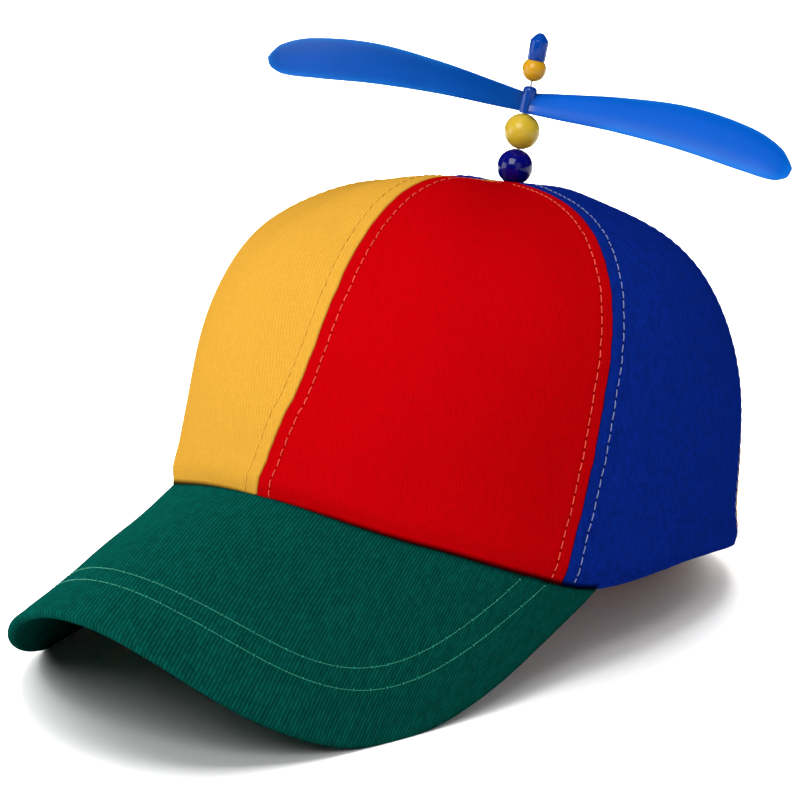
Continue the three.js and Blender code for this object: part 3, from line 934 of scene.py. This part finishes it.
class Stitching:
    """Many stitches, gathered to be one mesh."""

    def __init__(self):
        self.points = []
        self.marks = []

    def row(self, path, normals, run, pitch, gap, radius, arch):
        """Even stitches, each a little different. The run says how far along the path each point is."""
        holes = hole_places(run, pitch)
        starts = np.maximum(np.append(holes[0] - pitch, holes[:-1]), run[0]) + gap / 2
        lengths = holes - starts - gap / 2 + rng.normal(0, gap * STITCH_UNEVEN, len(holes))
        share = np.linspace(0, 1, STITCH_STEPS)
        at = starts[:, None] + lengths[:, None] * share
        centre, up, side = follow(at, path, normals, run)
        sway = rng.normal(0, radius * STITCH_SWAY, (len(holes), 1)) * (share - 0.5)
        to_middle = np.abs(2 * share - 1)
        dive = STITCH_DIVE["depth"] * to_middle ** STITCH_DIVE["power"]
        lift = radius * (STITCH_LIFT - dive) + arch * np.sin(math.pi * share)
        spine = centre + up * lift[:, None] + side * sway[..., None]
        thick = radius * (1 - STITCH_TAPER["share"] * to_middle ** STITCH_TAPER["power"])
        self.tube(spine, up, side, thick, at)

    def knots(self, path, normals, run, pitch, length, radius, twist):
        """The small loops that show across a row of stitches, at the needle holes."""
        holes = hole_places(run, pitch)
        share = np.linspace(0, 1, STITCH_STEPS)
        centre, up, side = follow(holes[:, None], path, normals, run)
        slant = rng.normal(0, twist, (len(holes), 1, 1))
        across = side * np.cos(slant) + np.cross(up, side) * np.sin(slant)
        bow = 1 - (2 * share - 1) ** 2
        reach = (share - 0.5) * length
        spine = centre + across * reach[:, None] + up * (radius * bow)[:, None]
        thick = radius * (KNOT_END + (1 - KNOT_END) * np.sqrt(bow))
        ways = [np.broadcast_to(way, spine.shape) for way in (up, np.cross(across, up))]
        self.tube(spine, *ways, thick, holes[:, None] + reach)

    def tube(self, spine, up, side, thick, at):
        """A thread round each spine."""
        round_turn = np.linspace(0, 2 * math.pi, STITCH_SIDES, endpoint=False)
        ring = side[:, :, None] * np.cos(round_turn)[:, None] + up[:, :, None] * np.sin(round_turn)[:, None]
        draw = rng.uniform(0, 1, (len(spine), 1, 1))
        self.points.append(spine[:, :, None] + ring * thick[:, None, None])
        self.marks.append(np.stack(np.broadcast_arrays(at[..., None], round_turn, draw), axis=-1))

    def build(self, name, material):
        points = np.concatenate(self.points)
        marks = np.concatenate(self.marks)
        index = np.arange(points.size // 3).reshape(points.shape[:3])
        faces = []
        for stitch in index:
            closed = np.hstack([stitch, stitch[:, :1]])
            faces.extend(quads(closed).tolist())
            faces.append(stitch[0].tolist())
            faces.append(stitch[-1].tolist())
        return make_piece(name, cap_to_room(points), faces, material, {"thread": marks})


def build_crown():
    stitching = {colour: Stitching() for colour in CROWN_THREAD}
    seams = list(SEAMS.values())
    for (place, colour), start, end in zip(PANELS.items(), seams, seams[1:] + seams[:1]):
        panel = Panel(start, end)
        walls = np.stack([panel.outer, panel.inner])
        faces = sheet_faces(*panel.up.shape)
        name = colour + "_cloth_" + place
        cloth = make_piece(name, cap_to_room(walls), faces, COTTON_FINISH[colour], panel.marks())
        dress(cloth, "cap", colour + "_twill", "panel_" + place)
        panel.sew(stitching[colour])
    for colour, rows in stitching.items():
        dress(rows.build(colour + "_topstitching", THREAD_FINISH[colour]), "cap", colour + "_twill")


# Visor


def side_places(count):
    """Places across the visor from -1 to 1, closer together towards both ends."""
    return np.sin(np.linspace(-math.pi / 2, math.pi / 2, count))


def visor_reach(side):
    """How much of the full length the visor has at a place across it, from -1 to 1."""
    return np.maximum(1 - np.abs(side) ** VISOR_CORNER_POWER, 0) ** VISOR_CORNER_EASE


def visor_top(side, along):
    """A point of the visor's upper side, from 0 at the crown to 1 at its edge."""
    reach = visor_reach(side)
    length = visor_length(side) * along
    slope = visor_slope(side)
    root_x, root_y, root_z = rim_point(side * VISOR_END)
    to_middle = np.hypot(root_x, root_y - CROWN_TOP_Y)
    tuck = VISOR_TUCK * (1 - along) / to_middle
    x = root_x * (1 - tuck)
    y = root_y + (CROWN_TOP_Y - root_y) * tuck - length * np.cos(slope)
    raised = (VISOR_EDGE_RAISE * along + VISOR_BULGE * np.sin(math.pi * along)) * reach
    raised = raised + HEM_LINE * (1 - along) + (front_dip(side * VISOR_END) - GAP) * along
    z = root_z + raised - length * np.sin(slope)
    return np.stack(np.broadcast_arrays(x, y, z), axis=-1)


def visor_length(side):
    return VISOR_END_LENGTH + (VISOR_LENGTH - VISOR_END_LENGTH) * visor_reach(side)


def visor_slope(side):
    return np.radians(VISOR_SLOPE + VISOR_SLOPE_GAIN * side**2 - VISOR_SLOPE_EASE * side**4)


def visor_normal(side, along):
    across = visor_top(side + SIDE_STEP, along) - visor_top(side - SIDE_STEP, along)
    back = visor_top(side, along - SIDE_STEP) - visor_top(side, along + SIDE_STEP)
    return unit(np.cross(across, back))


def visor_thickness(side):
    return VISOR_END_THICKNESS + (VISOR_THICKNESS - VISOR_END_THICKNESS) * visor_reach(side)


def visor_stitch_row(along, end):
    """Where a row of stitches runs: across near the edge, and back up to the crown at both ends."""
    side = end * side_places(VISOR_PATH_POINTS)
    return side, along * np.maximum(1 - np.abs(side / end) ** VISOR_ROW_POWER, 0) ** VISOR_ROW_EASE


def visor_relief(points, inner, outer, along):
    """How far the sewing and the soft cloth raise the visor's upper side."""
    channel = VISOR_CHANNEL * (bell(inner, CHANNEL_WIDTH) + bell(outer, CHANNEL_WIDTH))
    puff = VISOR_PUFF * bell(inner - outer, ROW_SPREAD) * bell(inner + outer, 2 * ROW_SPREAD)
    waves = soft_waves(points) * (1 - bell(along, ROOT_CALM))
    return waves, puff, channel


def visor_cloth(top):
    """Where the visor's points lie on the cloth: across its middle row, and back from its edge."""
    middle_row = travel(top[len(top) // 2], axis=0)
    return np.broadcast_to(middle_row, top.shape[:-1]), top[..., 1]


def visor_allowance(side):
    """Two rows of the cloth that is turned up inside the crown, on its outer and its inner side."""
    lines = CrownLines(side * VISOR_END)
    heights = np.array([VISOR_ALLOWANCE["low"], VISOR_ALLOWANCE["high"]])
    rows = np.repeat(heights[:, None], len(side), axis=1)
    wall = lines.points(rows)
    inward = unit(np.array([0, CROWN_TOP_Y, 0]) - wall * [1, 1, 0])
    deep = CLOTH + INNER_RIDGE + VISOR_ALLOWANCE["outer"]
    return wall + inward * deep, wall + inward * (deep + VISOR_ALLOWANCE["thickness"])


def visor_walls(side, along, top, from_rows):
    """The visor's upper and lower side with its sewing, each with the rows turned up inside the crown."""
    normal = visor_normal(side, along)
    inset = distance_to(visor_top(side_places(EDGE_POINTS), 1.0), top)
    thickness = np.broadcast_to(visor_thickness(side), inset.shape)
    waves, puff, channel = visor_relief(top, *from_rows, along)
    crease = EDGE_CREASE["depth"] * bell(inset - EDGE_CREASE["place"], EDGE_CREASE["width"])
    edge_roll = rolled(inset, EDGE_ROLL_SHARE * VISOR_THICKNESS) * thickness / VISOR_THICKNESS
    raise_top = waves + puff - channel - crease - edge_roll
    raise_bottom = waves - thickness + channel + edge_roll
    upper = top + normal * raise_top[..., None]
    lower = top + normal * raise_bottom[..., None]
    turned_up_outer, turned_up_inner = visor_allowance(side)
    return np.stack([np.vstack([upper, turned_up_outer]), np.vstack([lower, turned_up_inner])])


def visor_marks(side, along, top, from_rows):
    """Where each point lies on the cloth, how far from a row of stitches, and how much painted shade it has
    at its root, for the finish.
    """
    columns = (*visor_cloth(top), *from_rows, along * visor_length(side))
    across, back, inner, outer, from_root = [np.vstack([row, row[-1:], row[-1:]]) for row in columns]
    no_hole_shade = np.full_like(inner, MID_STITCH)
    no_seam = np.full_like(inner, VISOR_LENGTH)
    cloth = np.stack([across, back, painted_join_shade(from_root)], axis=-1)
    sewing = np.stack([np.minimum(inner, outer), no_hole_shade, no_seam], axis=-1)
    return {"cloth": np.stack([cloth, cloth]), "sewing": np.stack([sewing, sewing])}


def build_visor():
    side = side_places(VISOR_COLUMNS + 1)
    from_edge = np.concatenate([EDGE_ROWS, np.linspace(EDGE_ROWS[-1], VISOR_LENGTH, VISOR_ROWS + 1)[1:]])
    along = 1 - from_edge[:, None] / VISOR_LENGTH
    top = visor_top(side, along)
    paths = [visor_stitch_row(**row) for row in VISOR_STITCH_ROWS]
    from_rows = [distance_to(visor_top(*path), top) for path in paths]
    walls = visor_walls(side, along, top, from_rows)
    marks = visor_marks(side, along, top, from_rows)
    faces = sheet_faces(*walls.shape[1:3])
    visor = make_piece("green_cloth_visor", cap_to_room(walls), faces, COTTON_FINISH["green"], marks)
    dress(visor, "cap", "green_twill", "visor")
    build_visor_stitching(paths)


def build_visor_stitching(paths):
    stitching = Stitching()
    curves = [visor_top(*path) for path in paths]
    for curve, (side, along) in zip(curves, paths):
        normal = visor_normal(side, along)
        from_rows = [distance_to(row, curve) for row in curves]
        waves, puff, channel = visor_relief(curve, *from_rows, along)
        raise_top = waves + puff - channel
        raise_bottom = waves - visor_thickness(side) + channel
        run = travel(curve, axis=0)
        for raised, outward in ((raise_top, normal), (raise_bottom, -normal)):
            path = curve + normal * raised[:, None]
            stitching.row(path, outward, run, **VISOR_STITCH)
            stitching.knots(path, outward, run, VISOR_STITCH["pitch"], **VISOR_KNOT)
    dress(stitching.build("visor_topstitching", GREEN_STITCHING), "cap", "green_twill")


# Pin, beads and tip


def turned(profile, closed=False):
    """Points and faces of a profile of out and up, turned round the pin. It runs up the outside."""
    profile = np.array(profile, float)
    spin = np.linspace(0, 2 * math.pi, ROUND_SIDES, endpoint=False)
    out = profile[:, :1]
    points = np.stack(np.broadcast_arrays(out * np.cos(spin), out * np.sin(spin), profile[:, 1:]), axis=-1)
    index = np.arange(points.size // 3).reshape(points.shape[:2])
    index = np.hstack([index, index[:, :1]])
    if closed:
        index = np.vstack([index, index[:1]])
    return points.reshape(-1, 3), quads(index)


def bead_profile(radius, height):
    """A ball with a bore whose mouths are slightly eased."""
    mouth = math.acos((BORE_RADIUS + BEAD_MOUTH) / radius)
    lean = np.linspace(-mouth, mouth, BEAD_STEPS)
    ball = np.stack([radius * np.cos(lean), height + radius * np.sin(lean)], axis=-1)
    bore = radius * math.sin(mouth) - BEAD_MOUTH
    return np.vstack([ball, [BORE_RADIUS, height + bore], [BORE_RADIUS, height - bore]])


def build_on_pin(name, node, slot, material, sharp, shape):
    points, faces = shape
    piece = make_piece(name, pin_to_room(points), faces, material, sharp=sharp)
    dress(piece, "cap", slot, node)


def build_bead(name, node, slot, material, bead):
    build_on_pin(name, node, slot, material, CRISP["bead"], turned(bead_profile(**bead), closed=True))


def build_pin():
    ease = PIN_RADIUS / 2
    shape = turned([
        (0, PIN_HEAD_BOTTOM),
        (PIN_HEAD_RADIUS - ease, PIN_HEAD_BOTTOM),
        (PIN_HEAD_RADIUS, PIN_HEAD_BOTTOM + ease),
        (PIN_HEAD_RADIUS, PIN_HEAD_TOP - ease),
        (PIN_HEAD_RADIUS - ease, PIN_HEAD_TOP),
        (PIN_RADIUS, PIN_HEAD_TOP),
        (PIN_RADIUS, PIN_TOP - ease),
        (ease, PIN_TOP),
        (0, PIN_TOP),
    ])
    build_on_pin("bright_pin", "pin", "pin_steel", BRIGHT_WIRE, CRISP["pin"], shape)


def build_tip():
    """A bullet-shaped cap whose foot is hollowed to sit on the bead below it."""
    bore_top = PIN_TOP + GAP
    share = np.linspace(0, 1, TIP_STEPS)
    out = np.maximum(read_table(TIP_POINT, "up", "out", share), 0) * TIP_RADIUS
    point = np.stack([out, TIP_SHOULDER + share * (TIP_TOP - TIP_SHOULDER)], axis=-1)
    point[-1, 0] = 0
    seat_out = np.linspace(BORE_RADIUS, TIP_RADIUS - TIP_LIP, TIP_STEPS)
    seat_up = TOP_BEAD["height"] + np.sqrt((TOP_BEAD["radius"] + TIP_SEAT) ** 2 - seat_out**2)
    shape = turned(np.vstack([
        [0, bore_top],
        [BORE_RADIUS, bore_top],
        np.stack([seat_out, seat_up], axis=-1),
        [TIP_RADIUS, seat_up[-1] + TIP_LIP],
        point,
    ]))
    build_on_pin("blue_tip", "tip_cap", "blue_plastic", TIP_SATIN, CRISP["tip"], shape)


# Propeller


def hub_profile():
    bottom = HUB_BOTTOM - BLADE_HEIGHT
    top = bottom + HUB_HEIGHT
    lean = np.linspace(0, math.pi / 2, HUB_STEPS)
    out = BORE_RADIUS + (HUB_RADIUS - BORE_RADIUS) * np.cos(lean)
    shoulder = np.stack([out, top - HUB_SHOULDER + HUB_SHOULDER * np.sin(lean)], axis=-1)
    foot = [(HUB_RADIUS - HUB_CHAMFER, bottom), (HUB_RADIUS, bottom + HUB_CHAMFER)]
    return np.vstack([[BORE_RADIUS, bottom], foot, shoulder])


def blade_shape():
    """A cambered blade at one pitch: a loft of lens-shaped sections from the hub to the tip."""
    out = np.sin(np.linspace(0, math.pi / 2, BLADE_SECTIONS + 1))
    past = np.clip((out - TIP_ROUNDING) / (1 - TIP_ROUNDING), 0, 1)
    fade = np.sqrt(np.maximum(1 - past**2, TIP_FLAT))
    pitch = math.radians(BLADE_PITCH)
    high = read_table(BLADE_EDGES, "out", "high", out) * fade / math.sin(pitch)
    low = read_table(BLADE_EDGES, "out", "low", out) * fade / math.sin(pitch)
    width = (high + low)[:, None]
    round_turn = np.linspace(0, 2 * math.pi, SECTION_POINTS, endpoint=False)
    chord = width * (1 - np.cos(round_turn)) / 2 - low[:, None]
    half_thickness = BLADE_THICKNESS / 2 * fade[:, None]
    lift = BLADE_CAMBER * width * np.sin(round_turn) ** 2 + half_thickness * np.sin(round_turn)
    x = BLADE_START + (BLADE_RADIUS - BLADE_START) * out[:, None]
    y = chord * math.cos(pitch) - lift * math.sin(pitch)
    z = chord * math.sin(pitch) + lift * math.cos(pitch) - BLADE_DROOP * out[:, None]
    points = np.stack(np.broadcast_arrays(x, y, z), axis=-1)
    index = np.arange(points.size // 3).reshape(points.shape[:2])
    sides = quads(np.hstack([index, index[:, :1]])).tolist()
    return points.reshape(-1, 3), sides + [index[0].tolist(), index[-1].tolist()]


def propeller_to_room(points):
    raised = points @ PROPELLER_TURN.T + [0, 0, BLADE_HEIGHT]
    return pin_to_room(raised)


def room_to_propeller(points):
    on_pin = ((points / MM - CAP_PLACE) @ CAP_TURN - PIN_FOOT) @ PIN_TURN
    return (on_pin - [0, 0, BLADE_HEIGHT]) @ PROPELLER_TURN


def mark_blades(mesh):
    """Marks each point by its distance from a blade's edge, which is large at the hub, and from the hub."""
    places = np.empty(len(mesh.vertices) * 3)
    mesh.vertices.foreach_get("co", places)
    x, y, z = room_to_propeller(places.reshape(-1, 3)).T
    out = np.clip((np.abs(x) - BLADE_START) / (BLADE_RADIUS - BLADE_START), 0, 1)
    pitch = math.radians(BLADE_PITCH)
    chord = np.sign(x) * y * math.cos(pitch) + (z + BLADE_DROOP * out) * math.sin(pitch)
    high = read_table(BLADE_EDGES, "out", "high", out) / math.sin(pitch)
    low = read_table(BLADE_EDGES, "out", "low", out) / math.sin(pitch)
    from_side = np.minimum(high - chord, chord + low)
    from_edge = np.minimum(from_side, BLADE_RADIUS - np.abs(x))
    near_hub = 1 - smooth_step(np.abs(x), BLADE_MARKS["start"], BLADE_MARKS["end"])
    from_edge += BLADE_MARKS["away"] * near_hub
    add_marks(mesh, "blade", np.stack([from_edge, out, np.zeros_like(out)], axis=-1))


def build_propeller():
    hub_points, hub_faces = turned(hub_profile(), closed=True)
    blade_points, blade_faces = blade_shape()
    hub = make_piece("blue_propeller", propeller_to_room(hub_points), hub_faces, PROPELLER_SATIN)
    for half in (0, 180):
        turned_points = blade_points @ turn("Z", half).T
        blade = make_piece("blade", propeller_to_room(turned_points), blade_faces, PROPELLER_SATIN)
        join = hub.modifiers.new("join", "BOOLEAN")
        join.operation = "UNION"
        join.solver = "EXACT"
        join.object = blade
        moulded = bpy.data.meshes.new_from_object(hub.evaluated_get(bpy.context.evaluated_depsgraph_get()))
        hub.modifiers.clear()
        hub.data = moulded
        bpy.data.objects.remove(blade)
    finish_mesh(hub.data, CRISP["propeller"])
    mark_blades(hub.data)
    dress(hub, "propeller", "blue_plastic", "propeller")


# Studio


def build_studio():
    corners = FLOOR_HALF * np.array([(-1, -1), (1, -1), (1, 1), (-1, 1)], float)
    points = np.column_stack([corners, np.full(len(corners), -FLOOR_DROP)])
    floor = make_piece("floor", points, [[0, 1, 2, 3]], PALE_FLOOR)
    world = bpy.data.worlds.new("sky")
    world.use_nodes = True
    background = world.node_tree.nodes["Background"].inputs
    background["Color"].default_value = (1, 1, 1, 1)
    background["Strength"].default_value = SKY_STRENGTH
    bpy.context.scene.world = world
    bpy.context.scene.view_settings.view_transform = "Standard"


def build_softbox(receivers, name, place, aim, size, watts, spread=180):
    light = bpy.data.lights.new(name + "_softbox", "AREA")
    light.size = size
    light.energy = watts
    light.spread = math.radians(spread)
    softbox = bpy.data.objects.new(light.name, light)
    softbox.location = place
    softbox.rotation_euler = (Vector(aim) - Vector(place)).to_track_quat("-Z", "Y").to_euler()
    softbox.visible_glossy = name != UNSEEN_SOFTBOX
    softbox.light_linking.receiver_collection = receivers
    bpy.context.scene.collection.objects.link(softbox)


def build_lights():
    receivers = {name: bpy.data.collections.new(name + "_lit") for name in SOFTBOXES}
    for made in bpy.data.objects:
        if made.type == "MESH":
            receivers["floor" if made.name == "floor" else "cap"].objects.link(made)
            if "visor" in made.name:
                receivers["visor"].objects.link(made)
    for lights, boxes in SOFTBOXES.items():
        for box in boxes:
            build_softbox(receivers[lights], **box)


def build_camera():
    lens = bpy.data.cameras.new("camera")
    lens.lens = CAMERA_LENS
    lens.sensor_width = SENSOR
    camera = bpy.data.objects.new("camera", lens)
    facing = turn("Z", CAMERA_AZIMUTH) @ turn("X", 90 - CAMERA_ELEVATION) @ turn("Z", CAMERA_ROLL)
    place = CAMERA_AIM + Vector(facing[:, 2]) * CAMERA_DISTANCE
    camera.matrix_world = Matrix.LocRotScale(place, Matrix(facing.tolist()), None)
    bpy.context.scene.collection.objects.link(camera)
    bpy.context.scene.camera = camera


build_studio()
build_camera()
build_crown()
build_visor()
build_pin()
build_bead("navy_bead", "base_bead", "navy_plastic", NAVY_GLOSS, BASE_BEAD)
build_bead("yellow_bead", "spacer_bead", "yellow_plastic", YELLOW_GLOSS, SPACER_BEAD)
build_bead("amber_bead", "top_bead", "yellow_plastic", AMBER_GLOSS, TOP_BEAD)
build_tip()
build_propeller()
build_lights()

bpy.context.view_layer.update()
